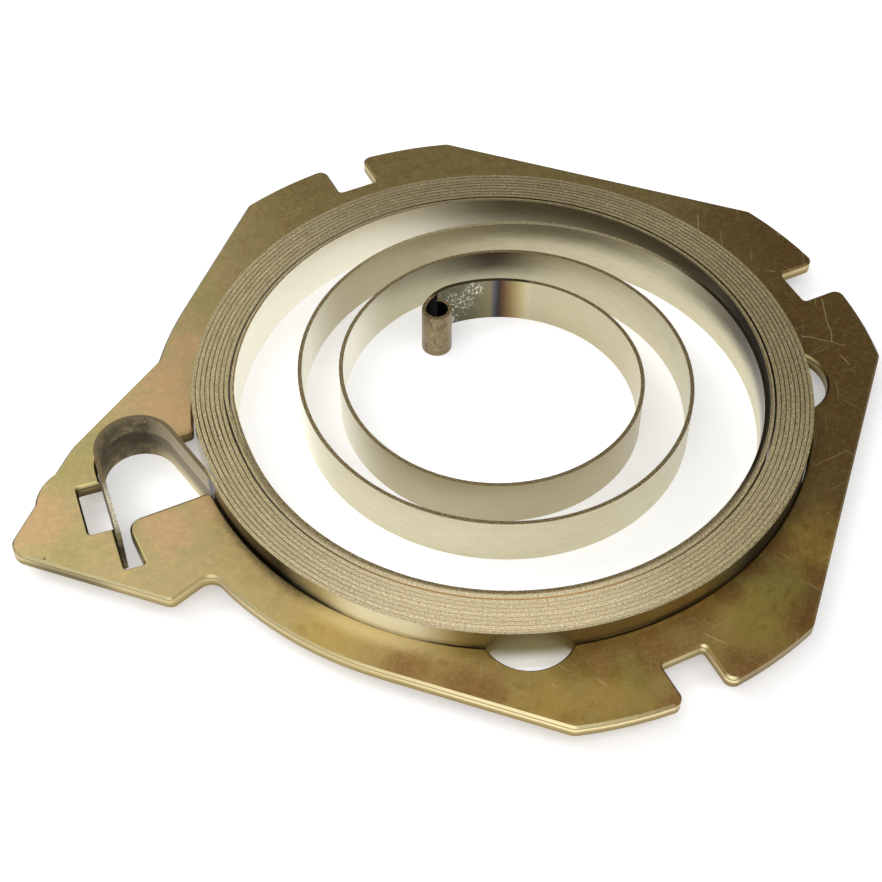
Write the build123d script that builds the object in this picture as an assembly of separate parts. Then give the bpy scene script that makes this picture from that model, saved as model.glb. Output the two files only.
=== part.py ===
from build123d import *
import os
from math import cos, radians, sin, sqrt

# Return spring of a pull starter, in its retainer plate. Millimetres, +Z up.
# The origin is on the axis of the plate's round hole, in the plane of the plate's underside,
# which is the face that seats in the starter housing. Seen from above, the spring starts at a
# hook in the plate's lobe (front left), lies in tight turns against the wall of the hole, then
# runs in free turns to a rolled eye near the middle. It winds inwards counter-clockwise.

# Plate
PLATE_THICKNESS = 2.0
HOLE_RADIUS = 46.0
SIDE_WIDTH = 6.3          # wall of the hole to each flat side
CORNER_WIDTH = 12.6       # wall of the hole to the arcs that cut the square's corners
CORNER_ROUND = 2.0        # where a side meets a corner arc
EDGE_BREAK = 0.3          # slope that stamping leaves round the upper edges

# Locating notches on three corners
NOTCH_ANGLES = (-45, 45, 135)
NOTCH_WIDTH = 6.8
NOTCH_DEPTH = 6.6         # in from the corner arc
NOTCH_MOUTH_ROUND = 1.4
NOTCH_FLOOR_ROUND = 0.6

# Shallow scallops in the wall of the hole
SCALLOP_ANGLES = (-67.5, 22.5, 112.5)
SCALLOP_RADIUS = 6.5
SCALLOP_DEPTH = 3.3       # beyond the wall of the hole

# Lobe on the fourth corner
LOBE_ANGLE = 225.0        # direction of the hook and its window
LOBE_LEFT_STEP = 3.35     # lobe's left side, out from the plate's flat side
LOBE_FRONT_STEP = 1.4     # lobe's front side, in from the plate's flat side
LOBE_LEFT_LENGTH = 19.9   # tip to the shoulder, where the left side slants back to the ring
LOBE_SLANT = 12.6         # degrees off the left side
LOBE_FRONT_LENGTH = 25.15 # tip to the end of the front side
LOBE_END_SLOPE = 62.7     # degrees off the front side
LOBE_TIP_ROUND = 2.6
LOBE_SHOULDER_ROUND = 12.0
LOBE_END_ROUND = 1.2
LOBE_NECK_ROUND = 2.0
STUB_HEIGHT = 0.7         # low hump on the left side, where the blank was held in its sheet
STUB_LENGTH = 6.2
STUB_PLACE = 11.8         # tip to the hump's middle

# Strip
STRIP_WIDTH = 8.0
STRIP_THICKNESS = 0.6
STRIP_RISE = 3.26         # strip's upper edge above the plate's upper face
TURN_GAP = 0.09           # between neighbouring turns of the pack
WALL_GAP = 0.1            # between the outer turn and the wall of the hole

# Tight turns
PACKED_TURNS = 9
STEP_ANGLE = 12.0         # half the sweep in which a turn steps in over the one before
LOOSE_GAP = 0.2           # extra gap outside the last packed turn

# Free turns, arc by arc; each radius is a ratio of the first free radius
FREE_ANGLES = (130, 60, 80, 80, 80, 80, 80, 80, 80, 80, 80, 75)
FREE_RATIOS = (1.0, 0.903, 0.921, 0.781, 0.773, 0.707, 0.694, 0.651, 0.6, 0.574, 0.52, 0.528)
EYE_LEAD_ANGLE = 50.0
EYE_LEAD_RADIUS = 7.5
EYE_BORE_RADIUS = 1.73
EYE_ANGLE = 288.0

# Hook
KINK_ANGLE = 10.6         # between the hook's inner leg and the wall of the hole
KINK_RADIUS = 1.5
LEG_LENGTH = 11.85
HOOK_BORE_RADIUS = 5.35
HOOK_ANGLE = 163.0
TAIL_LENGTH = 14.7

# Window round the hook
HOOK_CLEARANCE = 0.1      # between the strip and the walls it lies along
TAIL_CLEARANCE = 3.7      # past the end of the tail
LIP_PLACE = 2.0           # middle of the bend to the throat's wall on the lip
TONGUE_PLACE = 1.0        # lobe's direction to the throat's wall on the tongue
SLOT_WIDTH = 2.35         # inner wall to the middle of the tail, at the slot's end
TONGUE_ROUND = 2.2
TONGUE_HEEL_ROUND = 1.0
LIP_ROUND = 0.8
SLOT_ROUND = 0.4
RELIEF_START = 2.2        # along the tail, from the end of the bend
RELIEF_WIDTH = 8.7
RELIEF_DEPTH = 3.4        # beyond the wall behind the tail
RELIEF_ROUND = 0.4

HALF_SIDE = HOLE_RADIUS + SIDE_WIDTH
CORNER_RADIUS = HOLE_RADIUS + CORNER_WIDTH
LOBE_LEFT = HALF_SIDE + LOBE_LEFT_STEP
LOBE_FRONT = HALF_SIDE - LOBE_FRONT_STEP
PITCH = STRIP_THICKNESS + TURN_GAP
FIRST_RADIUS = HOLE_RADIUS - WALL_GAP - STRIP_THICKNESS / 2
HOOK_RADIUS = HOOK_BORE_RADIUS + STRIP_THICKNESS / 2
MARGIN = 10.0             # how far the window's cutter reaches into the hole
CLOSE = 0.01              # for picking out corners that lie on a circle


def polar(radius, angle):
    return Vector(radius * cos(radians(angle)), radius * sin(radians(angle)))


def lay(start, heading, steps, side=0.0):
    """Lay straights and arcs end to end, moved to the left of travel by side.

    A step is (0, length) for a straight or (turn in degrees, radius) for an arc.
    """
    point = start + polar(side, heading + 90)
    tangent = polar(1, heading)
    edges = []
    for turn, size in steps:
        if turn:
            edge = JernArc(point, tangent, size - side if turn > 0 else size + side, turn)
        else:
            edge = Line(point, point + tangent * size)
        edges.append(edge)
        point = edge @ 1
        tangent = edge % 1
    return edges


def ribbon(start, heading, steps, thickness):
    """Flat outline of a strip of even thickness along the steps."""
    left = lay(start, heading, steps, thickness / 2)
    right = lay(start, heading, steps, -thickness / 2)
    caps = [Line(left[0] @ 0, right[0] @ 0), Line(left[-1] @ 1, right[-1] @ 1)]
    return make_face(left + right + caps)


def step_in(radius, drop):
    """Two arcs that take a turn from one radius to a smaller one about the same axis.

    Their centres lie either side of the axis by the same amount, which makes all three
    arcs meet tangentially.
    """
    shift = drop / (2 * (1 - cos(radians(STEP_ANGLE))))
    return [(STEP_ANGLE, radius - shift), (STEP_ANGLE, radius - drop + shift)]


def hook_steps():
    """From the wall of the hole outwards: kink, inner leg, bend and tail."""
    return [(KINK_ANGLE, KINK_RADIUS), (0, LEG_LENGTH), (HOOK_ANGLE, HOOK_RADIUS), (0, TAIL_LENGTH)]


def coil_steps():
    """From the wall of the hole inwards: packed turns, free turns, lead and eye."""
    steps = []
    radius = FIRST_RADIUS
    for turn in range(1, PACKED_TURNS + 1):
        drop = PITCH + (LOOSE_GAP if turn == PACKED_TURNS - 1 else 0)
        steps += [(180, radius), (180 - 2 * STEP_ANGLE, radius)] + step_in(radius, drop)
        radius -= drop
    steps += [(angle, radius * ratio) for angle, ratio in zip(FREE_ANGLES, FREE_RATIOS)]
    steps += [(EYE_LEAD_ANGLE, EYE_LEAD_RADIUS), (EYE_ANGLE, EYE_BORE_RADIUS + STRIP_THICKNESS / 2)]
    return steps


def spiral_spring():
    start = polar(FIRST_RADIUS, LOBE_ANGLE)
    hook = lay(start, LOBE_ANGLE - 90, hook_steps())
    back_to_wall = [(-turn, size) for turn, size in reversed(hook_steps())]
    heading = LOBE_ANGLE + 90 + KINK_ANGLE + HOOK_ANGLE
    outline = ribbon(hook[-1] @ 1, heading, back_to_wall + coil_steps(), STRIP_THICKNESS)
    bottom = PLATE_THICKNESS + STRIP_RISE - STRIP_WIDTH
    return Pos(0, 0, bottom) * extrude(outline, STRIP_WIDTH)


def nearest(shape, point):
    return shape.vertices().sort_by_distance(point)[0]


def lobe():
    """Pointed ear on the fourth corner; its root lies inside the ring."""
    tip = Vector(-LOBE_LEFT, -LOBE_FRONT)
    shoulder = tip + Vector(0, LOBE_LEFT_LENGTH)
    end = tip + Vector(LOBE_FRONT_LENGTH, 0)
    slant_root = shoulder + polar(-shoulder.Y, 90 - LOBE_SLANT)
    end_root = end + polar(-end.Y / 2, LOBE_END_SLOPE)
    shape = make_face(Polyline((0, 0), slant_root, shoulder, tip, end, end_root, close=True))
    shape = fillet(nearest(shape, shoulder), LOBE_SHOULDER_ROUND)
    shape = fillet(nearest(shape, tip), LOBE_TIP_ROUND)
    shape = fillet(nearest(shape, end), LOBE_END_ROUND)
    stub_radius = (STUB_HEIGHT ** 2 + (STUB_LENGTH / 2) ** 2) / (2 * STUB_HEIGHT)
    stub_middle = tip + Vector(stub_radius - STUB_HEIGHT, STUB_PLACE)
    return shape + Pos(stub_middle) * Circle(stub_radius)


def blank():
    """Outside outline: a square with its corners cut by an arc, a round quarter and the lobe."""
    square = Rectangle(2 * HALF_SIDE, 2 * HALF_SIDE) & Circle(CORNER_RADIUS)
    square = fillet(square.vertices(), CORNER_ROUND)
    quarter = Pos(-CORNER_RADIUS, -CORNER_RADIUS) * Rectangle(2 * CORNER_RADIUS, 2 * CORNER_RADIUS)
    shape = square - (quarter - Circle(HALF_SIDE)) + lobe()
    near_lobe = [v for v in shape.vertices() if v.X < 0 and v.Y < 0]
    necks = [v for v in near_lobe if abs(Vector(v).length - HALF_SIDE) < CLOSE]
    return shape, necks


def notch():
    """One locating notch, open towards +X."""
    return Pos(CORNER_RADIUS, 0) * RectangleRounded(2 * NOTCH_DEPTH, NOTCH_WIDTH, NOTCH_FLOOR_ROUND)


def hook_in_lobe():
    """The hook in the lobe's own axes: X runs out along the lobe's direction."""
    return lay(polar(FIRST_RADIUS, 0), -90, hook_steps())


def throat_walls():
    """Where the window's throat has its walls on the lip and on the tongue, across the lobe."""
    bend = hook_in_lobe()[2]
    return bend.arc_center.Y - LIP_PLACE, -TONGUE_PLACE


def window():
    """Cut-out for the hook, in the lobe's own axes."""
    bend, tail = hook_in_lobe()[2:]
    along = tail % 0
    outward = along.rotate(Axis.Z, -90)
    slot_end = tail @ 1 + along * TAIL_CLEARANCE
    slot_corner = slot_end - outward * SLOT_WIDTH
    lip_wall, tongue_wall = throat_walls()
    inside = HOLE_RADIUS - MARGIN
    tongue = Vector(slot_corner.X, tongue_wall)
    middle = Pos(bend.arc_center)
    opening = make_face(Polyline(
        (inside, lip_wall), (bend.arc_center.X, lip_wall), tail @ 0, slot_end, slot_corner,
        tongue, (inside, tongue_wall), close=True))
    opening = fillet(nearest(opening, tongue), TONGUE_ROUND)
    track_steps = [(HOOK_ANGLE, HOOK_RADIUS), (0, TAIL_LENGTH + TAIL_CLEARANCE)]
    track_half = STRIP_THICKNESS / 2 + HOOK_CLEARANCE
    track = ribbon(bend @ 0, KINK_ANGLE - 90, track_steps, 2 * track_half)
    relief_reach = 2 * track_half + RELIEF_DEPTH
    relief = Pos(RELIEF_DEPTH / 2, 0) * RectangleRounded(relief_reach, RELIEF_WIDTH, RELIEF_ROUND)
    relief_middle = tail @ 0 + along * (RELIEF_START + RELIEF_WIDTH / 2)
    tail_axes = Plane(relief_middle, x_dir=outward, z_dir=(0, 0, 1))
    shape = opening + track + middle * Circle(HOOK_RADIUS) + tail_axes * relief
    shape = fillet(nearest(shape, slot_corner), SLOT_ROUND)
    return fillet(nearest(shape, slot_end + outward * track_half), SLOT_ROUND)


def retainer_plate():
    outline, necks = blank()
    outline = fillet(necks, LOBE_NECK_ROUND)
    for angle in NOTCH_ANGLES:
        outline -= Rot(0, 0, angle) * notch()
        for across in (-NOTCH_WIDTH / 2, NOTCH_WIDTH / 2):
            mouth = Rot(0, 0, angle) * Pos(sqrt(CORNER_RADIUS ** 2 - across ** 2), across)
            outline = fillet(nearest(outline, mouth.position), NOTCH_MOUTH_ROUND)
    hole = Circle(HOLE_RADIUS)
    for angle in SCALLOP_ANGLES:
        hole += Pos(polar(HOLE_RADIUS + SCALLOP_DEPTH - SCALLOP_RADIUS, angle)) * Circle(SCALLOP_RADIUS)
    outline = outline - hole - Rot(0, 0, LOBE_ANGLE) * window()
    for wall, round_radius in zip(throat_walls(), (LIP_ROUND, TONGUE_HEEL_ROUND)):
        corner = Rot(0, 0, LOBE_ANGLE) * Pos(sqrt(HOLE_RADIUS ** 2 - wall ** 2), wall)
        outline = fillet(nearest(outline, corner.position), round_radius)
    plate = extrude(outline, PLATE_THICKNESS)
    return chamfer(plate.faces().sort_by(Axis.Z)[-1].edges(), EDGE_BREAK)


os.makedirs("parts", exist_ok=True)
export_step(retainer_plate(), "parts/retainer_plate.step")
export_step(spiral_spring(), "parts/spiral_spring.step")
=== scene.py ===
# %% [markdown]
# A pull starter's return spring, in its retainer plate. On the real thing a long strip of
# spring steel winds up inside the plate when the cord is pulled, and then winds the cord in.
# The shapes come from CAD: a stamped plate and one strip. This notebook only dresses them. It
# gives each piece its metal, lays both on a pale table, lights them softly and looks at them
# from the front, a little from the right.

# %% Load the frame
from math import dist, pi, radians, sqrt
import bpy
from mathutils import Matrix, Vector


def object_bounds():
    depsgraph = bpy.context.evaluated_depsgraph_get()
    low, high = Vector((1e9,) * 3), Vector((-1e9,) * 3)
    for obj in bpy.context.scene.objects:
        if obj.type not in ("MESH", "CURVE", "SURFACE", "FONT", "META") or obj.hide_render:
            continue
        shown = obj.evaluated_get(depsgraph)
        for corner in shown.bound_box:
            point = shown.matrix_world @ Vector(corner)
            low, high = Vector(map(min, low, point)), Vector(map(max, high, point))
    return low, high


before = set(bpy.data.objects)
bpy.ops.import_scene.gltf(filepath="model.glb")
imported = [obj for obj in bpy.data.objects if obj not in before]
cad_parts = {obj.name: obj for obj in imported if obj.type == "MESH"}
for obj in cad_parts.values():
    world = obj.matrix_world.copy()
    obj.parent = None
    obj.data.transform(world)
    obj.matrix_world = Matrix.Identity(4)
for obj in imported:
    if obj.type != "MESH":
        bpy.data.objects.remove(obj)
cad_low, cad_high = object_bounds()
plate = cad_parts["retainer_plate"]
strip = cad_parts["spiral_spring"]
print("CAD box in metres:", tuple(cad_low), tuple(cad_high))

# %% [markdown]
# Every finish here is a small formula of a point's place on the metal. Blender builds such a
# formula from nodes, and long chains of nodes are hard to read as code. So one small class
# wraps a node's output: a plus sign between two wrapped outputs adds a Math node, and any
# other node comes from its one method, add.

# %% A wire that can be used in expressions
class Wire:
    """A node's output. Expressions on wires add Math nodes to the tree being built."""

    tree = None

    def __init__(self, socket):
        self.socket = socket

    @classmethod
    def add(cls, kind, settings=None, inputs=None, output=0):
        """Add a node: its settings first, then the values or wires of its sockets."""
        node = cls.tree.nodes.new(kind)
        for name, value in (settings or {}).items():
            if name == "stops":
                while len(node.color_ramp.elements) < len(value):
                    node.color_ramp.elements.new(0.5)
                for element, (place, colour) in zip(node.color_ramp.elements, value):
                    element.position = place
                    element.color = colour
            else:
                setattr(node, name, value)
        for name, value in (inputs or {}).items():
            if isinstance(value, Wire):
                cls.tree.links.new(value.socket, node.inputs[name])
            else:
                node.inputs[name].default_value = value
        return cls(node.outputs[output])

    def math(self, operation, *others):
        inputs = dict(enumerate((self, *others)))
        return Wire.add("ShaderNodeMath", {"operation": operation}, inputs)

    def __add__(self, other): return self.math("ADD", other)
    def __sub__(self, other): return self.math("SUBTRACT", other)
    def __rsub__(self, other): return (self * -1).math("ADD", other)
    def __mul__(self, other): return self.math("MULTIPLY", other)
    def __truediv__(self, other): return self.math("DIVIDE", other)
    def __or__(self, other): return self.math("MAXIMUM", other)
    __radd__ = __add__
    __rmul__ = __mul__


print("Sums and products of wires now add Math nodes")

# %% [markdown]
# A mask is a wire that goes from 0 to 1 and says where a colour lies. rise() climbs from 0 to
# 1, fall() sinks from 1 to 0, band() is 1 between two values, and a bar between two masks
# takes the stronger one. noise() breaks a finish up, as dirt, plating and handling do: its
# scale is how fine it is, and a stretch turns its blots into streaks. Painted pictures could
# do the same work, but these formulas need no unwrapping and stay sharp from close by.

# %% Masks and noise
def rise(value, start, end):
    """0 below start, 1 above end, smooth between."""
    return Wire.add("ShaderNodeMapRange", {"interpolation_type": "SMOOTHSTEP"},
                    {0: value, 1: start, 2: end, 3: 0.0, 4: 1.0})


def fall(value, start, end):
    """1 below start, 0 above end, smooth between."""
    return 1 - rise(value, start, end)


def band(value, low, high, soft):
    """1 between low and high, fading out over a soft edge on both sides."""
    return rise(value, low - soft, low + soft) * fall(value, high - soft, high + soft)


def strongest(masks):
    """The strongest of several masks at each point."""
    result, *others = masks
    for mask in others:
        result = result | mask
    return result


def noise(place, scale, detail=2.0, rough=0.5, stretch=(1, 1, 1)):
    """Soft blots around 0.5, several of them to a millimetre when the scale is large."""
    stretched = Wire.add("ShaderNodeVectorMath", {"operation": "MULTIPLY"}, {0: place, 1: stretch})
    return Wire.add("ShaderNodeTexNoise", {},
                    {"Vector": stretched, "Scale": scale, "Detail": detail, "Roughness": rough})


def waver(blots, reach):
    """Noise as a push around zero: from its lowest to its highest it goes as far as reach."""
    return (blots - 0.5) * reach


print("Masks: rise, fall, band and strongest, broken up by noise")

# %% [markdown]
# A finish is laid on in coats, as in painting: one ground colour, and then each further
# colour where its mask says. lay() takes such a list from the bottom up. Colours are written
# as a paint program shows them and turned into the light they stand for. The Mix node holds
# sockets for numbers, vectors and colours together, so its colours go by number: 6 and 7.

# %% Coats of colour
def paint(red, green, blue):
    """A colour from 0 to 255 as a screen shows it, turned into light by the screens' formula."""
    return tuple(((c / 255 + 0.055) / 1.055) ** 2.4 for c in (red, green, blue)) + (1,)


def mix(mask, first, second):
    """Blend two colours: all first where the mask is 0, all second where it is 1."""
    return Wire.add("ShaderNodeMix", {"data_type": "RGBA"},
                    {0: mask, 6: first, 7: second}, output=2)


def lay(colour, *coats):
    """Lay coats over a colour. Each coat is a mask and its own colour."""
    for mask, coat in coats:
        colour = mix(mask, colour, coat)
    return colour


print("Mid grey on a screen is this much light:", round(paint(128, 128, 128)[0], 3))

# %% [markdown]
# A metal needs to know where each point is. The pieces sit at their true place, so a point's
# object coordinates are its place on the real part: x to the right, y to the back, z up, in
# metres. The formulas use millimetres, which are easier to think in. The normal tells which
# way the metal faces: its z is 1 on what lies flat, and its y is 1 on what faces the back.

# %% Start a finish
MILLIMETRES = 1000.0  # in one metre


def start_finish(name):
    """A new material, its surface shader, a point's place in millimetres and its normal."""
    material = bpy.data.materials.new(name)
    material.use_nodes = True
    Wire.tree = material.node_tree
    shader = material.node_tree.nodes["Principled BSDF"]
    metres = Wire.add("ShaderNodeTexCoord", output="Object")
    place = Wire.add("ShaderNodeVectorMath", {"operation": "SCALE"},
                     {0: metres, "Scale": MILLIMETRES})
    return material, shader, place, Wire.add("ShaderNodeNewGeometry", output="Normal")


def split(vector):
    """The three parts of a vector, each as a wire."""
    parts = Wire.add("ShaderNodeSeparateXYZ", {}, {0: vector}).socket.node
    return [Wire(socket) for socket in parts.outputs]


def bumped(height, strength, depth):
    """The normal, tilted as if the height stood out by a depth in millimetres."""
    return Wire.add("ShaderNodeBump", {},
                    {"Strength": strength, "Distance": depth / MILLIMETRES, "Height": height})


def feed(shader, **wires):
    """Link wires to the shader's inputs; Base_Color means the input Base Color."""
    for name, wire in wires.items():
        Wire.tree.links.new(wire.socket, shader.inputs[name.replace("_", " ")])


def dress(piece, material):
    piece.data.materials.clear()
    piece.data.materials.append(material)
    nodes = len(material.node_tree.nodes)
    print(piece.name, "is dressed in", material.name, "with", nodes, "nodes")


print("Pieces to dress:", plate.name, "and", strip.name)

# %% [markdown]
# The part is round, so most of its marks are easier to place by how far they lie from the
# hole's axis and in which direction, or by how far out along the pointed lobe, which points
# to the front left at 45 degrees. The numbers in the masks below are such places on the part:
# millimetres, with z 0 at the plate's underside, and degrees for directions.

# %% Places on the part
def distance(x, y, centre=(0.0, 0.0)):
    """How far a point lies from a centre; from the hole's axis if none is given."""
    across = x - centre[0]
    along = y - centre[1]
    return (across * across + along * along).math("SQRT")


def bearing(x, y):
    """The direction of a point from the axis in degrees: 0 on the right, 90 at the back."""
    return y.math("ARCTAN2", x) * (180 / pi)


def lobe_axes(x, y):
    """How far a point lies out along the lobe, and how far across it towards the right."""
    return (x + y) * -sqrt(0.5), (x - y) * sqrt(0.5)


print("Plate across in millimetres:", round((cad_high[0] - cad_low[0]) * MILLIMETRES, 1))

# %% [markdown]
# The plate is stamped steel, zinc plated and then dipped in a yellow passivating bath. That
# thin film is olive gold where it is thick and pale straw where it is thin, and browner where
# the plate has been handled. The bath drained across the plate, so place decides which tone
# wins: pale on the lobe, olive in front, khaki at the back and brown on the right. The pale
# lobe is partly the film and partly a painted reflection of the bright light it mirrors, and
# the brown right is partly the film and partly painted shade. Near the hole at the front left
# a light gold is a painted reflection of the lit outermost turn. Slow noise pushes the borders
# between the tones about, because a film never ends in a straight line.

# %% Plate finish: tones of the passivated zinc
gold, shader, place, normal = start_finish("yellow_zinc")
x, y, z = split(place)
right, back, up = split(normal)
DRIFT = 36.0  # millimetres from end to end that noise can push a border
drift = waver(noise(place, 0.05, 3.0, 0.55), DRIFT)
to_lobe = fall(x + y * 0.55 + drift * 0.5, -68.0, -20.0)
to_left = fall(x + drift * 0.4, -52.0, -24.0)
to_right = rise(x + y * 0.35 + drift, 22.0, 52.0)
to_back = rise(y - x * 0.2 + drift * 0.5, 14.0, 46.0)
left_stain = band(y, -2.0, 26.0, 9.0) * to_left
# Painted reflection of the lit outermost turn, on the plate near the hole at the front left.
front_left_reflection = band(x, -34.0, -3.0, 8.0) * fall(y, -47.0, -41.0)
# The lobe's pale straw is partly painted reflection, and the right's brown partly painted shade.
tone = lay(paint(160, 135, 76),                             # olive gold
           (to_left, paint(142, 128, 84)),                  # greyer
           (to_back, paint(130, 114, 68)),                  # khaki
           (to_right, paint(100, 79, 38)),                  # brown
           (left_stain * 0.5, paint(112, 96, 48)),          # dark olive
           (front_left_reflection * 0.5, paint(200, 176, 108)),    # light gold
           (to_lobe, paint(172, 154, 108)))                 # pale straw
print("Plate tones: six over an olive gold ground")

# %% [markdown]
# Where the film is thin it shows soft rainbow tints, as oil does on water: pink and green
# fields on the lobe and the left, and olive, straw and amber ones at the front and the right.
# A rainbow ramp over noise would put them anywhere. Here each field is a spot with a place of
# its own, and noise shakes its distance so that its border wavers.

# %% Plate finish: tints of the thin film
def patches(x, y, shake, spots):
    """One mask for soft spots given as (x, y, radius)."""
    return strongest(fall(distance(x, y, (spot_x, spot_y)) / radius + shake, 0.2, 1.3)
                     for spot_x, spot_y, radius in spots)


tints = {  # how strong, what colour, and where
    "straw": (0.5, paint(182, 150, 66), [
        (23.0, -50.5, 6.0), (-9.0, -48.5, 5.0), (49.5, -13.0, 7.0), (36.0, -47.5, 3.0),
        (28.5, -46.5, 5.0), (44.0, -27.0, 8.0)]),
    "green": (0.42, paint(144, 142, 78), [
        (-54.0, -32.0, 8.0), (-47.0, -48.0, 5.0), (-30.5, -36.5, 3.0), (-52.5, 3.0, 5.0)]),
    "olive": (0.5, paint(136, 132, 58), [
        (46.0, -22.5, 6.5), (44.5, -28.0, 4.0), (31.0, -41.0, 3.5), (24.5, -43.5, 3.0)]),
    "pink": (0.38, paint(204, 152, 116), [
        (-53.5, -44.5, 5.0), (-46.5, -20.5, 6.0), (-36.0, -39.5, 4.5), (-32.0, -35.5, 3.5),
        (-48.5, -14.0, 4.5), (-47.5, -6.0, 3.5)]),
    "amber": (0.55, paint(124, 76, 34), [
        (40.2, -25.1, 2.5), (42.4, -19.9, 2.5), (44.6, -15.0, 2.5), (51.6, -18.5, 2.5),
        (36.0, -30.5, 5.0), (33.5, -37.0, 5.0), (52.0, -26.0, 4.0), (46.0, -37.0, 4.5),
        (25.5, -41.0, 5.0), (38.5, -44.0, 3.5), (3.0, -51.0, 4.0), (12.0, -51.5, 5.0)]),
}
shake = waver(noise(place, 0.22, 2.0, 0.5), 1.6)
for name, (strength, colour, spots) in tints.items():
    tone = lay(tone, (patches(x, y, shake, spots) * strength, colour))
    print("Tint", name, "in", len(spots), "spots")

# %% [markdown]
# Closer up the plating is grained. Its crystals differ a little in tone, small flecks are
# pinkish or greenish, and on the right and at the back it is going brown. These are five
# layers of noise of different sizes, each let through only where the plate has that wear.

# %% Plate finish: grain, flecks and rust
grain = noise(place, 2.2, 3.0, 0.7)
mottle = noise(place, 0.32, 4.0, 0.65)
flecks = noise(place, 0.9, 4.0, 0.75)
flecked = to_lobe * 0.22 + 0.12
brown_clouds = rise(mottle, 0.5, 0.72) * (1 - to_lobe)
pale_grain = rise(grain, 0.42, 0.75) * (0.2 - to_right * 0.1)
rust = rise(noise(place, 0.6, 4.0, 0.7, stretch=(1.5, 0.7, 1)), 0.48, 0.62)
rust = rust * (to_right | to_back * 0.5)
rubbed_spots = rise(noise(place, 1.3, 3.0, 0.7), 0.56, 0.7) * to_right
tone = lay(tone,
           (brown_clouds * 0.35, paint(90, 64, 32)),
           (pale_grain, paint(200, 180, 128)),
           (rise(flecks, 0.5, 0.68) * flecked, paint(214, 172, 118)),    # pinkish
           (fall(flecks, 0.32, 0.48) * flecked, paint(140, 138, 82)),    # greenish
           (rust * 0.42, paint(114, 72, 36)),
           (rubbed_spots * 0.3, paint(150, 130, 84)))
print("Plate grain laid over the tones")

# %% [markdown]
# The part has been handled: long hairlines where other parts slid over it, most of them on
# the right, and a few deeper scratches that each have their own place. A deep scratch is a
# thin line between two points, so its mask is the distance from a point to that line, shaken
# a little so the line isn't ruled. Hairlines are too many to place one by one, so they are
# noise that was turned and stretched into long streaks, in three directions.

# %% Plate finish: scratches
def scratch(x, y, start, end, width=0.075):
    """A mask for a straight thin line, with its ends and its width in millimetres."""
    run_x, run_y = end[0] - start[0], end[1] - start[1]
    length = dist(start, end)
    along = ((x - start[0]) * run_x + (y - start[1]) * run_y) / length
    across = (((x - start[0]) * run_y - (y - start[1]) * run_x) / length).math("ABSOLUTE")
    return band(along, 0.0, length, 0.4) * fall(across, width * 0.4, width * 1.6)


def hairlines(place, turn):
    """Long thin streaks that run one way: noise turned by degrees, then stretched."""
    turned = Wire.add("ShaderNodeVectorRotate", {"rotation_type": "Z_AXIS"},
                      {0: place, 3: radians(turn)})
    return rise(noise(turned, 0.55, 1.0, 0.5, stretch=(0.14, 5.5, 0.0)), 0.7, 0.78)


deep_marks = [  # both ends of each
    ((41.9, 35.4), (44.9, 26.7)), ((40.0, 26.6), (46.9, 26.7)), ((46.6, 24.4), (48.4, 22.8)),
    ((18.7, 48.5), (20.1, 43.8)), ((30.4, 50.0), (32.4, 48.1)), ((38.8, -32.7), (41.9, -33.3)),
    ((27.0, -44.0), (28.4, -44.6)), ((21.4, -46.4), (22.2, -47.2)), ((32.0, 39.0), (33.4, 39.4))]
wander = waver(noise(place, 0.3, 1.0), 1.4)
wandering = (x + wander, y - wander)
scratches = strongest(scratch(*wandering, start, end) for start, end in deep_marks)
hairs = strongest(hairlines(place, turn) for turn in (18, 74, 131))
hairs = hairs * (to_right * 0.2 + 0.3) * (1 - to_lobe * 0.7)
tone = lay(tone, ((scratches * 0.55) | hairs, paint(206, 188, 140)))
print("Plate marks:", len(deep_marks), "deep scratches and three sets of hairlines")

# %% [markdown]
# Painted shade darkens the corner along the foot of the tight turns, at the front left, and
# there is one dark speck near the lobe's tip. Two rims of the hook's window carry painted
# highlights, and the tongue's rim carries a painted dark line of shade, where the strip lies
# against it. A rim is a straight line on the plate, so the scratch's mask serves for it too,
# only wider.

# %% Plate finish: painted shade in the corner, a speck, and the window's painted rims
from_axis = distance(x, y)
# Painted shade in the corner along the foot of the tight turns.
corner_shade = fall(from_axis + grain * 1.5, 46.6, 48.6) * band(x, -31.0, -10.0, 6.0)
corner_shade = corner_shade * fall(y, -30.0, -24.0)
# Painted shade: a dark line on the tongue's rim, where the strip lies against it.
tongue_rim_shade = scratch(x, y, (-33.2, -32.2), (-40.7, -39.7), 0.17)
# Painted highlights on two rims of the hook's window.
relief_rim_highlight = scratch(x, y, (-51.5, -37.3), (-49.2, -35.5), 0.12)
slot_rim_highlight = scratch(x, y, (-40.4, -42.2), (-36.5, -46.1), 0.12)
speck = fall(distance(x, y, (-49.9, -50.3)), 0.1, 0.3)
tone = lay(tone,
           (corner_shade * 0.7, paint(66, 54, 32)),
           (tongue_rim_shade * 0.75, paint(58, 48, 28)),
           ((relief_rim_highlight | slot_rim_highlight) * 0.7, paint(236, 226, 158)),
           (speck * 0.8, paint(74, 64, 44)))
print("Plate: painted shade along the turns, one speck, three painted rims")

# %% [markdown]
# The stamped sides took less of the film than the top and are paler, but they are browner
# towards the table and at the front right. Inside the hook's window they are darkened by
# painted shade. On the front the side carries a painted highlight line and, above it, a
# painted dark line of shade under the sloped edge, as a rounded edge would show them. The
# normal picks the sides out, and the height places the lines.

# %% Plate finish: cut sides
side = fall(up.math("ABSOLUTE"), 0.2, 0.5)
front_right = rise(x, 38.0, 46.0) * fall(y, -20.0, -10.0)
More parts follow.
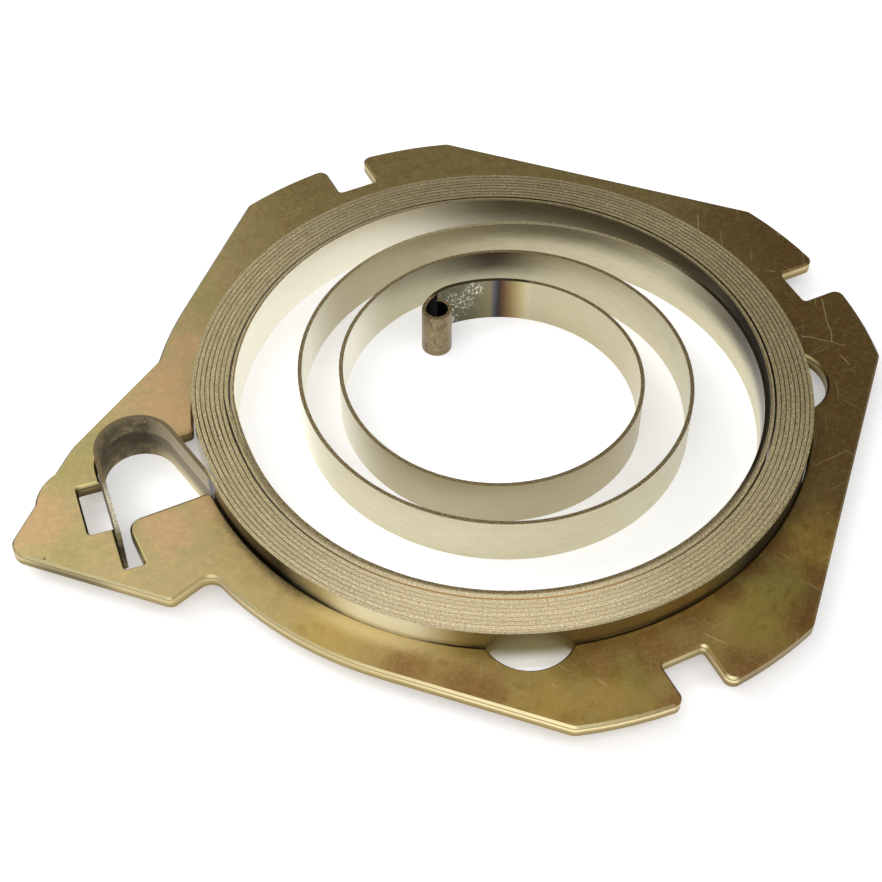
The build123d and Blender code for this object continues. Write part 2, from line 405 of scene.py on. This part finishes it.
# Painted shade on the sides inside the hook's window.
window_shade = fall(distance(x, y, (-46.0, -36.0)), 15.0, 17.0)
cut = lay(paint(146, 128, 80),                         # near the table
          (rise(z, 0.1, 1.7), paint(206, 188, 138)),   # near the top
          (front_right * 0.6, paint(112, 94, 52)),
          (window_shade * 0.85, paint(74, 62, 34)))
front_side = side * fall(back, -0.85, -0.6)
# A painted highlight line along the front side, as on a rounded edge.
side_highlight = front_side * band(z, 0.95, 1.4, 0.12) * (rise(x, -6.0, 14.0) * 0.65 + 0.2)
# A painted line of shade under the sloped edge.
under_slope_shade = front_side * rise(z, 1.48, 1.56)
tone = lay(tone,
           (side * 0.85, cut),
           (side_highlight, paint(246, 230, 178)),
           (under_slope_shade * 0.8, paint(140, 122, 76)))
print("Plate sides: thickness in millimetres", round(plate.dimensions[2] * MILLIMETRES, 2))

# %% [markdown]
# The upper edge is broken by a narrow slope. It carries a painted highlight where it faces the
# front, and painted shade where it faces the back. The hole's rim carries a painted reflection
# too, below the painted gleam on the outermost turn, which it mirrors.

# %% Plate finish: sloped edge
slope = band(up, 0.5, 0.85, 0.1)
# Painted highlight on the slope where it faces the front.
front_slope_highlight = slope * fall(back, -0.68, -0.48) * (rise(x, -10.0, 14.0) * 0.35 + 0.5)
facing_away = rise(back | (back - right), 0.1, 0.4)
# Painted shade on the slope where it faces the back.
back_slope_shade = slope * facing_away * rise(from_axis, 46.5, 47.5)
# Painted reflection of the gleam on the hole's rim.
below_gleam = fall(from_axis, 46.8, 49.4) * band(bearing(x, y), -103.0, -84.0, 6.0)
tone = lay(tone,
           (front_slope_highlight, paint(246, 232, 182)),
           (back_slope_shade * 0.9, paint(50, 40, 24)),
           (below_gleam * 0.6, paint(232, 214, 162)))
print("Plate edges: bright in front, dark behind")

# %% [markdown]
# Yellow zinc is satin, not a mirror: the film scatters light, and more so on its grain. So the
# roughness follows the same noise as the colour, and the grain and the deep scratches also
# tilt the surface a little. Real dents would need thousands of faces for the same effect. The
# film is not all metal either, so the plate is a little less metallic than bare steel.

# %% Plate finish: gloss
feed(shader, Base_Color=tone, Roughness=0.33 + grain * 0.12 + mottle * 0.06,
     Normal=bumped(grain + scratches, strength=0.15, depth=0.05))
shader.inputs["Metallic"].default_value = 0.85
dress(plate, gold)

# %% [markdown]
# The strip is cold rolled spring steel. Its wide faces are satin and pale, champagne under a
# trace of oil, and painted palest on the left, where the lighter colour is painted light. Fine
# lines run along the strip from the rolls: noise that is stretched flat gives those, where a
# picture of them would have to be bent round every turn. The steel also carries a few pinprick
# pits, placed one by one.

# %% Strip finish: wide faces
steel, shader, place, normal = start_finish("rolled_strip")
x, y, z = split(place)
right, back, up = split(normal)
from_axis = distance(x, y)
around = bearing(x, y)
rolled = noise(place, 0.3, 3.0, 0.6, stretch=(1, 1, 5))
roll_lines = rise(rolled, 0.4, 0.7)
inner_turn = fall(from_axis, 23.5, 26.0) * rise(x, -19.0, -8.0)
# Painted light: the faces on the left are painted palest.
left_painted_light = fall(x, -26.0, -10.0) * (band(y, -18.0, 7.0, 7.0) | rise(from_axis, 38.0, 39.0))
back_left = band(from_axis, 29.0, 37.0, 1.0) * band(around, 118.0, 174.0, 14.0)
pits = patches(x, y, 0.0, [
    (3.8, 21.7, 0.3), (-8.3, -18.6, 0.3), (8.0, -17.2, 0.25), (-38.6, -28.5, 0.3),
    (-22.5, 15.8, 0.2), (26.9, -7.1, 0.25), (-16.0, -22.7, 0.2), (31.8, 19.6, 0.25)])
pits = pits * rise(noise(place, 1.7, 1.0), 0.5, 0.56)
faces = lay(paint(208, 201, 172),
            (roll_lines * 0.3, paint(190, 180, 146)),
            (inner_turn * 0.6, paint(176, 164, 132)),
            (left_painted_light * 0.95, paint(252, 248, 232)),
            (back_left * 0.5, paint(178, 166, 134)),
            (pits * 0.8, paint(96, 76, 50)))
print("Strip height in millimetres:", round(strip.dimensions[2] * MILLIMETRES, 2))

# %% [markdown]
# From above, the tight turns show as nine sheared edges side by side. To dress each edge on
# its own, the formula has to know which turn a point is on. Each turn is one pitch nearer the
# axis than the turn outside it, and it steps in over the last 24 degrees before the lobe.
# Undoing that step leaves plain rings: the whole part of a ring's number tells the turn, and
# the fraction tells where a point lies across its own edge.

# %% Strip finish: which turn a point is on
PITCH = 0.69                # millimetres from one tight turn to the next
HALF_GAP = PITCH * 0.065    # half of the gap between two turns
OUTER_FACE = 45.9           # millimetres from the axis to the outermost turn's outer face
INNER_FACE = 39.6           # and to the innermost tight turn's inner face
LOBE = radians(-135)        # the lobe's direction
FULL_TURN = radians(360)
STEP = radians(24)
turned = (y.math("ARCTAN2", x) - LOBE).math("FLOORED_MODULO", FULL_TURN)
unstepped = from_axis + rise(turned, FULL_TURN - STEP, FULL_TURN) * PITCH
rings = (OUTER_FACE + HALF_GAP - unstepped) / PITCH
across_edge = (rings.math("FRACT") - 0.5).math("ABSOLUTE")
own_tone = Wire.add("ShaderNodeTexWhiteNoise", {"noise_dimensions": "1D"},
                    {"W": rings.math("FLOOR")})
in_pack = rise(from_axis, INNER_FACE - 0.3, INNER_FACE)
print("Tight turns:", round((OUTER_FACE - INNER_FACE) / PITCH))

# %% [markdown]
# A sheared edge is dull and torn: short grains run along it, with longer dark streaks, and no
# two turns were sheared quite alike. Ordinary noise would run straight over the turns, so this
# noise is laid along them, in angle and distance. In front the edges carry a painted sheen, as
# if they mirrored the light, and they are dirty on the right and at the back. Painted glints
# sit along them. A line of painted shade parts two turns, and in front, where the light reaches
# into the gaps, that painted shade is faint.

# %% Strip finish: sheared edges of the tight turns
def along_turns(dense, fine, detail):
    """Noise laid along the turns: dense is its grain per radian, fine the one per millimetre."""
    flat = Wire.add("ShaderNodeCombineXYZ", {}, {0: turned * dense, 1: from_axis * fine, 2: 0.0})
    return Wire.add("ShaderNodeTexNoise", {},
                    {"Vector": flat, "Scale": 1.0, "Detail": detail, "Roughness": 0.7})


streaks = along_turns(12, 2.6, 3.0)
grains = along_turns(110, 5.5, 2.0)
# Painted glints along the edges.
glints = rise(along_turns(70, 5.5, 1.0), 0.66, 0.72)
front_turns = band(around, -108.0, -38.0, 24.0)
right_turns = rise(x, 8.0, 34.0)
back_turns = band(around, 80.0, 150.0, 18.0)
# Where light reaches into the gaps: there the painted shade between turns is faint.
lit_gaps = front_turns | (band(around, -60.0, 4.0, 18.0) * 0.5)
# Painted shade in the gaps between turns.
gap_shade = rise(across_edge, 0.35, 0.47) * (0.85 - lit_gaps * 0.8)
dirty_grains = mix(rise(grains, 0.4, 0.62), paint(90, 78, 46), paint(184, 170, 122))
# Painted sheen: the edges in front are painted brighter.
sheen_grains = mix(rise(grains, 0.3, 0.7), paint(184, 168, 128), paint(246, 234, 196))
sheared = lay(paint(146, 130, 92),
              (rise(grains, 0.3, 0.7), paint(216, 201, 158)),            # bare grains
              (rise(streaks, 0.46, 0.66) * 0.35, paint(120, 104, 72)),   # dirt in the tears
              (right_turns * 0.3, dirty_grains),
              (back_turns * 0.3, paint(92, 80, 50)),
              (front_turns * 0.6, sheen_grains),
              (own_tone * 0.16, paint(124, 108, 74)),
              (gap_shade, paint(62, 48, 30)),
              (glints * (0.9 - front_turns * 0.5), paint(236, 226, 184)))
print("Tight turns' edges: grains, streaks, glints and the lines between them")

# %% [markdown]
# The free turns, the hook and the tail show the same sheared edge one turn at a time, so plain
# speckle is enough there. One stretch at the back is painted pale as painted light, the edge on
# the right is painted dark as painted shade, the hook's edge is dull, and the end of the tail
# is nearly bare.

# %% Strip finish: edges of the free turns and the hook
speckle = noise(place, 4.0, 2.0, 0.7)
dull_speckle = mix(rise(speckle, 0.4, 0.62), paint(94, 78, 52), paint(160, 144, 106))
pale_speckle = mix(rise(speckle, 0.4, 0.62), paint(136, 122, 88), paint(196, 184, 150))
# Painted light on one stretch of edge at the back, and painted shade on the edge on the right.
lit_stretch = band(from_axis, 31.5, 38.6, 0.4) * band(around, 62.0, 150.0, 14.0)
shaded_stretch = rise(from_axis, 36.0, 36.6) * band(around, -14.0, 56.0, 10.0)
hooked = rise(from_axis, 45.98, 46.25)
out_lobe, across_lobe = lobe_axes(x, y)
tail = band(across_lobe, -5.5, 2.5, 2.0) * rise(out_lobe, 58.0, 59.0)
loose = lay(dull_speckle,
            (lit_stretch, pale_speckle),
            (shaded_stretch, paint(46, 36, 22)),
            (hooked * 0.75, paint(96, 84, 56)),
            (tail * (rise(speckle, 0.34, 0.66) * 0.6 + 0.25), paint(234, 228, 204)))
print("Free turns' edges: speckled, with a painted lit and a painted shaded stretch")

# %% [markdown]
# Before its inner end was rolled into an eye, the strip was softened in a flame. The heat left
# a row of temper colours: grey scale by the eye, then blue, purple, straw, and plain steel.
# They depend on how far a point lies from the eye, so one colour ramp over that distance makes
# them all, and a little noise keeps their borders uneven.

# %% Strip finish: temper colours near the eye
EYE = (-13.8, 10.4)   # the eye's centre
HEAT_REACH = 16.0     # millimetres from there to plain steel
heat_stops = [
    (0.0, paint(136, 120, 90)), (0.19, paint(128, 113, 84)), (0.26, paint(88, 88, 68)),
    (0.5, paint(104, 102, 78)), (0.655, paint(130, 120, 92)), (0.69, paint(84, 86, 92)),
    (0.725, paint(60, 50, 50)), (0.76, paint(94, 70, 48)), (0.82, paint(136, 114, 78)),
    (0.9, paint(176, 162, 118)), (1.0, paint(206, 199, 170))]
from_eye = distance(x, y, EYE)
end_part = fall(from_axis, 22.6, 23.4)
near_end = end_part * fall(from_eye, HEAT_REACH - 1.0, HEAT_REACH)
uneven = waver(noise(place, 1.2, 2.0), 0.35)
temper = Wire.add("ShaderNodeMapRange", {},
                  {0: from_eye + uneven, 1: 0.0, 2: HEAT_REACH, 3: 0.0, 4: 1.0})
heat = Wire.add("ShaderNodeValToRGB", {"stops": heat_stops}, {0: temper})
faces = lay(faces, (near_end, heat))
loose = lay(loose, (near_end * rise(from_eye, 2.7, 3.3), paint(62, 54, 36)))
print("Temper colours:", len(heat_stops), "stops over", HEAT_REACH, "millimetres")

# %% [markdown]
# Beside the eye the grey scale has flaked, and bright steel shows in small torn patches. Fine
# noise tears them, and three soft spots on the face keep them together. The eye itself is
# rubbed and stained, and no light gets into its bore or into the gap behind it, so those are
# nearly black. The gap's mask needs the normal, because only the inner side is dark.

# %% Strip finish: flaked scale and the eye
torn = waver(noise(place, 1.0, 2.0), 1.6)
clusters = patches(x, z, torn, [(-12.5, 1.4, 2.6), (-9.8, 3.9, 1.8), (-13.0, -1.8, 1.4)])
flakes = rise(noise(place, 2.8, 3.0, 0.7), 0.52, 0.58) * clusters
flakes = flakes * band(from_eye, 3.6, 9.6, 0.5) * end_part
tube = fall(from_eye, 2.6, 3.0)
worn_spots = rise(noise(place, 1.8, 3.0, 0.7), 0.5, 0.64)
stains = rise(noise(place, 1.1, 3.0, 0.7, stretch=(1, 1, 0.3)), 0.5, 0.62)
facing_out = (right * (x - EYE[0]) + back * (y - EYE[1])) / from_eye
gap_behind = fall(x, -14.85, -14.7) * fall(from_eye, 4.4, 4.8)
gap_behind = gap_behind * fall(facing_out, -0.3, -0.1)
bore = fall(from_eye, 2.24, 2.31) | gap_behind
faces = lay(faces,
            (flakes * 0.95, paint(224, 220, 202)),
            (tube * worn_spots * 0.35, paint(184, 168, 134)),
            (tube * stains * 0.55, paint(82, 64, 42)),
            (bore, paint(9, 8, 7)))
print("Eye's centre:", EYE)

# %% [markdown]
# The hook was bent hot as well. Its bend is scaled: dark and mottled, with light scuffs where
# the scale has come off. The straight leg that leads to it is dry and pale, and paler low down,
# where a painted reflection of the white table lightens it. The way out along the lobe tells
# the two apart.

# %% Strip finish: leg and scaled hook
leg = hooked * 0.85
bend = rise(out_lobe, 47.4, 50.6)
# The leg is dry and pale, and painted paler low down as a painted reflection of the white table.
dry_steel_and_table_light = mix(rise(z, 1.2, 3.0), paint(238, 220, 172), paint(182, 170, 132))
scale_marks = noise(place, 0.45, 3.0, 0.65)
scuffs = rise(noise(place, 1.3, 2.0, 0.6), 0.62, 0.7)
scaled = lay(paint(74, 64, 38),
             (rise(scale_marks, 0.4, 0.62), paint(138, 124, 88)),
             (scuffs * 0.6, paint(186, 178, 150)))
faces = lay(faces, (leg, dry_steel_and_table_light), (bend * 0.9, scaled))
print("Hook: dry leg, scaled bend")

# %% [markdown]
# Painted shade darkens the upper part of the wide faces where turns lie close together, at the
# back and on the right: it stands for the dark neighbouring turns that these faces mirror. It
# also darkens the outermost turn where it stands in the plate's hole, under the plate's edge.
# The rolling lines' noise moves the border of the painted shade, so it is uneven. Each patch
# has its own reach in distance, direction and height, and the strongest one counts.

# %% Strip finish: painted shade on the wide faces
wavy_z = z + waver(rolled, 0.6)
short_of_wall = fall(from_axis, 44.0, 45.0)
# Painted shade: each patch stands for dark neighbouring turns mirrored in the faces.
right_shade = rise(from_axis, 35.0, 37.0) * short_of_wall * band(around, -16.0, 54.0, 24.0)
right_shade = right_shade * rise(wavy_z, -0.4, 3.6)
back_shade = rise(from_axis, 39.2, 39.4) * short_of_wall * band(around, 40.0, 124.0, 20.0)
back_shade = back_shade * rise(wavy_z, -5.5, 4.2) * 0.84
outer_shade = band(from_axis, 32.5, 37.0, 1.0) * band(around, 66.0, 118.0, 24.0)
outer_shade = outer_shade * rise(wavy_z, 0.5, 4.2) * 0.72
middle_shade = band(from_axis, 24.5, 31.0, 1.0) * band(around, 99.0, 122.0, 18.0)
middle_shade = middle_shade * rise(wavy_z, -0.7, 2.9)
# Painted shade on the outermost turn inside the plate's hole, under the plate's edge.
hole_shade = rise(from_axis, 45.7, 45.8) * fall(z, 1.9, 2.3) * rise(z, -2.4, 0.4) * 0.7
hole_shade = hole_shade * (1 - band(around, -76.0, -59.0, 1.0))
painted_shade = strongest([right_shade, back_shade, outer_shade, middle_shade, hole_shade])
faces = lay(faces, (painted_shade * 0.94, paint(44, 30, 12)))
print("Painted shade on five stretches of the strip")

# %% [markdown]
# The outermost turn's outer face shows above the plate all along the front. A long painted
# gleam at the front left stands for the light it catches, a painted dark reflection of the hook
# darkens it further left, and a painted dark reflection stands for the dark side of the room
# that it mirrors on the right. Along the front it is tinted olive as a painted reflection of the
# plate. Inside the front scallop its lower part is painted bright, a painted reflection of the
# white table, and beside it a fine bright line runs along its foot, just above the plate. In
# front, painted light also sits on the tops of the gaps between the tight turns.

# %% Strip finish: the outermost turn's outer face
outermost = rise(from_axis, 45.6, 45.8) * (1 - hooked)
# Painted dark reflection of the hook, further left.
hook_dark_reflection = outermost * band(around, -146.0, -109.0, 5.0)
by_the_lobe = outermost * band(around, -170.0, -146.0, 4.0)
# Painted reflection of the olive plate along the front.
front_plate_reflection = outermost * band(around, -79.0, 24.0, 4.0)
# Painted dark reflection of the room on the right.
right_dark_reflection = outermost * band(around, -30.0, 24.0, 8.0)
# Painted reflection of the white table inside the front scallop.
scallop_reflection = outermost * band(around, -75.5, -59.5, 0.8) * fall(z, -1.4, 2.2)
# A painted gleam of light at the front left.
gleam = outermost * band(around, -101.0, -84.0, 5.0)
foot_ends = band(around, -100.0, -78.0, 1.5) | band(around, -57.0, -46.0, 2.5) * 0.6
foot_line = outermost * band(z, 1.9, 2.35, 0.12) * foot_ends
# Painted light on the tops of the gaps in front.
lit_gap_tops = in_pack * fall(from_axis, 45.4, 45.6) * rise(z, 4.3, 4.8) * lit_gaps
faces = lay(faces,
            (hook_dark_reflection, paint(38, 27, 14)),
            (by_the_lobe * 0.8, paint(112, 98, 72)),
            (front_plate_reflection * 0.85, paint(136, 124, 72)),
            (right_dark_reflection * 0.9, paint(50, 40, 22)),
            (scallop_reflection, paint(250, 248, 242)),
            (gleam, paint(255, 248, 214)),
            (foot_line * 0.8, paint(240, 226, 172)),
            (lit_gap_tops, paint(246, 214, 160)))
print("Outer face: gleam, dark corner, scallop and foot line")

# %% [markdown]
# Last, the faces and the edges come together. The normal tells them apart: an edge faces up or
# down. Steel fresh from the rolls is smoother than its sheared edges, its scale and its dirt,
# so the roughness adds up from their masks. The leg, with its painted table light, the painted
# gleam and the painted light on the tops of the gaps show their painted pale colour and not
# what the metal would mirror, so they are hardly metallic.

# %% Strip finish: gloss
METAL = 0.9  # a little of the steel's own colour shows besides what it mirrors
edge = rise(up.math("ABSOLUTE"), 0.5, 0.8)
edges = mix(in_pack * fall(from_axis, 45.9, 46.1), loose, sheared)
rough = (0.28 + edge * 0.2 + rolled * 0.08 + bend * 0.12 + bore * 0.4 + leg * 0.3
         + right_dark_reflection * 0.6)
# Painted light is hardly metallic, so it shows as painted.
pale_and_painted_light = (leg * 0.95) | (gleam * 0.8) | lit_gap_tops
feed(shader, Base_Color=mix(edge, faces, edges), Roughness=rough,
     Metallic=METAL - pale_and_painted_light * METAL,
     Normal=bumped(speckle * edge + rolled * 0.15, strength=0.35, depth=0.06))
dress(strip, steel)

# %% [markdown]
# The spring lies on a pale table. Its top is one flat sheet at the height of the strip's
# lower edges, which is where the part would rest. A backdrop that curves up would hide the
# room's horizon too, but it would stand in the way of views from other sides, so the sheet
# is simply very wide.

# %% Table
HALF_TABLE = 16.0  # metres from the middle to a side


def make_table(height, half):
    corners = [(-half, -half, height), (half, -half, height), (half, half, height),
               (-half, half, height)]
    mesh = bpy.data.meshes.new("table")
    mesh.from_pydata(corners, [], [(0, 1, 2, 3)])
    table = bpy.data.objects.new("table", mesh)
    bpy.context.scene.collection.objects.link(table)
    return table


table = make_table(cad_low[2], HALF_TABLE)
print("Table at", cad_low[2])

# %% [markdown]
# The table is covered with white paper. Part of its white is a faint glow that only the
# camera and the metal's reflections see, so the picture's ground is white without any more
# light on the object, and the sheet still takes the object's soft shadow. Brighter lamps would
# whiten it too, but they would wash out the metal. Far from the lamps the paper would turn
# grey, so there it is all glow, for the same rays only.

# %% White paper
PAPER = (0.88, 0.88, 0.88, 1)
GLOW = (0.35, 0.35, 0.35, 1)
WHITE = (1, 1, 1, 1)
paper = bpy.data.materials.new("white_paper")
paper.use_nodes = True
Wire.tree = paper.node_tree
matte = paper.node_tree.nodes["Principled BSDF"]
matte.inputs["Base Color"].default_value = PAPER
matte.inputs["Roughness"].default_value = 1.0
sheet = Wire(matte.outputs[0])
seen = strongest(Wire.add("ShaderNodeLightPath", output=ray)
                 for ray in ("Is Camera Ray", "Is Glossy Ray", "Is Transmission Ray"))
glow = Wire.add("ShaderNodeEmission", {}, {"Color": GLOW, "Strength": 1.0})
glowing = Wire.add("ShaderNodeAddShader", {}, {0: sheet, 1: glow})
near = Wire.add("ShaderNodeMixShader", {}, {0: seen, 1: sheet, 2: glowing})
from_middle = Wire.add("ShaderNodeVectorMath", {"operation": "LENGTH"},
                       {0: Wire.add("ShaderNodeTexCoord", output="Object")}, output="Value")
far = rise(from_middle, 0.25, 0.6)  # in metres
white = Wire.add("ShaderNodeEmission", {}, {"Color": WHITE, "Strength": 1.0})
surface = Wire.add("ShaderNodeMixShader", {}, {0: seen * far, 1: near, 2: white})
Wire.tree.links.new(surface.socket, paper.node_tree.nodes["Material Output"].inputs["Surface"])
table.data.materials.append(paper)
print("Paper covers", table.name, "with", len(paper.node_tree.nodes), "nodes")

# %% [markdown]
# Light: metal shows what it mirrors, so it is lit with wide soft panels and not with small
# lamps. The key is high on the left and lays the turns' soft shadow on the table inside the
# ring. A weaker one at the back left is what the lobe and the left of the plate mirror towards
# the camera. One at the front left lights the painted long gleam on the outermost turn, and one
# at the front right lights the rest of it. A weak one hangs overhead, one on the right fills the
# key's shadows, and one in front is for the sloped front edges, whose highlight is painted as
# well. The grey room does the rest, so nothing goes quite black.

# %% Lights
def panel(name, where, size, power):
    """A square lamp that looks at the part: its place and side in metres, its power in watts."""
    light = bpy.data.lights.new(name, "AREA")
    light.shape = "SQUARE"
    light.size = size
    light.energy = power
    lamp = bpy.data.objects.new(name, light)
    bpy.context.scene.collection.objects.link(lamp)
    lamp.location = where
    lamp.rotation_euler = (-Vector(where)).to_track_quat("-Z", "Y").to_euler()
    print("Panel", name, "of", power, "watts")


panel("key_left", (-0.62, 0.02, 0.58), 0.42, 2.6)
panel("back_left", (-0.32, 0.24, 0.62), 0.4, 0.7)
panel("front_left", (-0.27, -0.47, 0.78), 0.5, 1.4)
panel("front_right", (0.3, -0.42, 0.75), 0.5, 0.6)
panel("overhead", (0.15, -0.1, 0.8), 0.6, 0.3)
panel("right", (0.55, -0.05, 0.6), 0.45, 1.1)
panel("front", (0.1, -0.8, 0.42), 0.6, 1.4)
room = bpy.data.worlds.new("room")
bpy.context.scene.world = room
room.use_nodes = True
room_light = room.node_tree.nodes["Background"].inputs
room_light["Color"].default_value = WHITE
room_light["Strength"].default_value = 0.34

# %% [markdown]
# The camera's place came from the photograph: the hole's ellipse, the plate's flat sides and
# the strip's edges fix where it stood, about 25 cm away and 49 degrees above the table. It
# could be set by eye, but then no edge would fall where it does in the photograph.

# %% Camera
lens = bpy.data.cameras.new("view")
lens.sensor_fit = "HORIZONTAL"
lens.sensor_width = 36.0  # millimetres, as on a full-frame camera
lens.lens = 69.447        # focal length in millimetres
camera = bpy.data.objects.new("view", lens)
camera.location = (0.046584, -0.166147, 0.189594)
camera.rotation_euler = (radians(40.908), radians(-0.2735), radians(18.9537))
bpy.context.scene.collection.objects.link(camera)
bpy.context.scene.camera = camera
bpy.context.scene.view_settings.view_transform = "Standard"
print("Camera in metres from the hole's middle:", round(camera.location.length, 3))
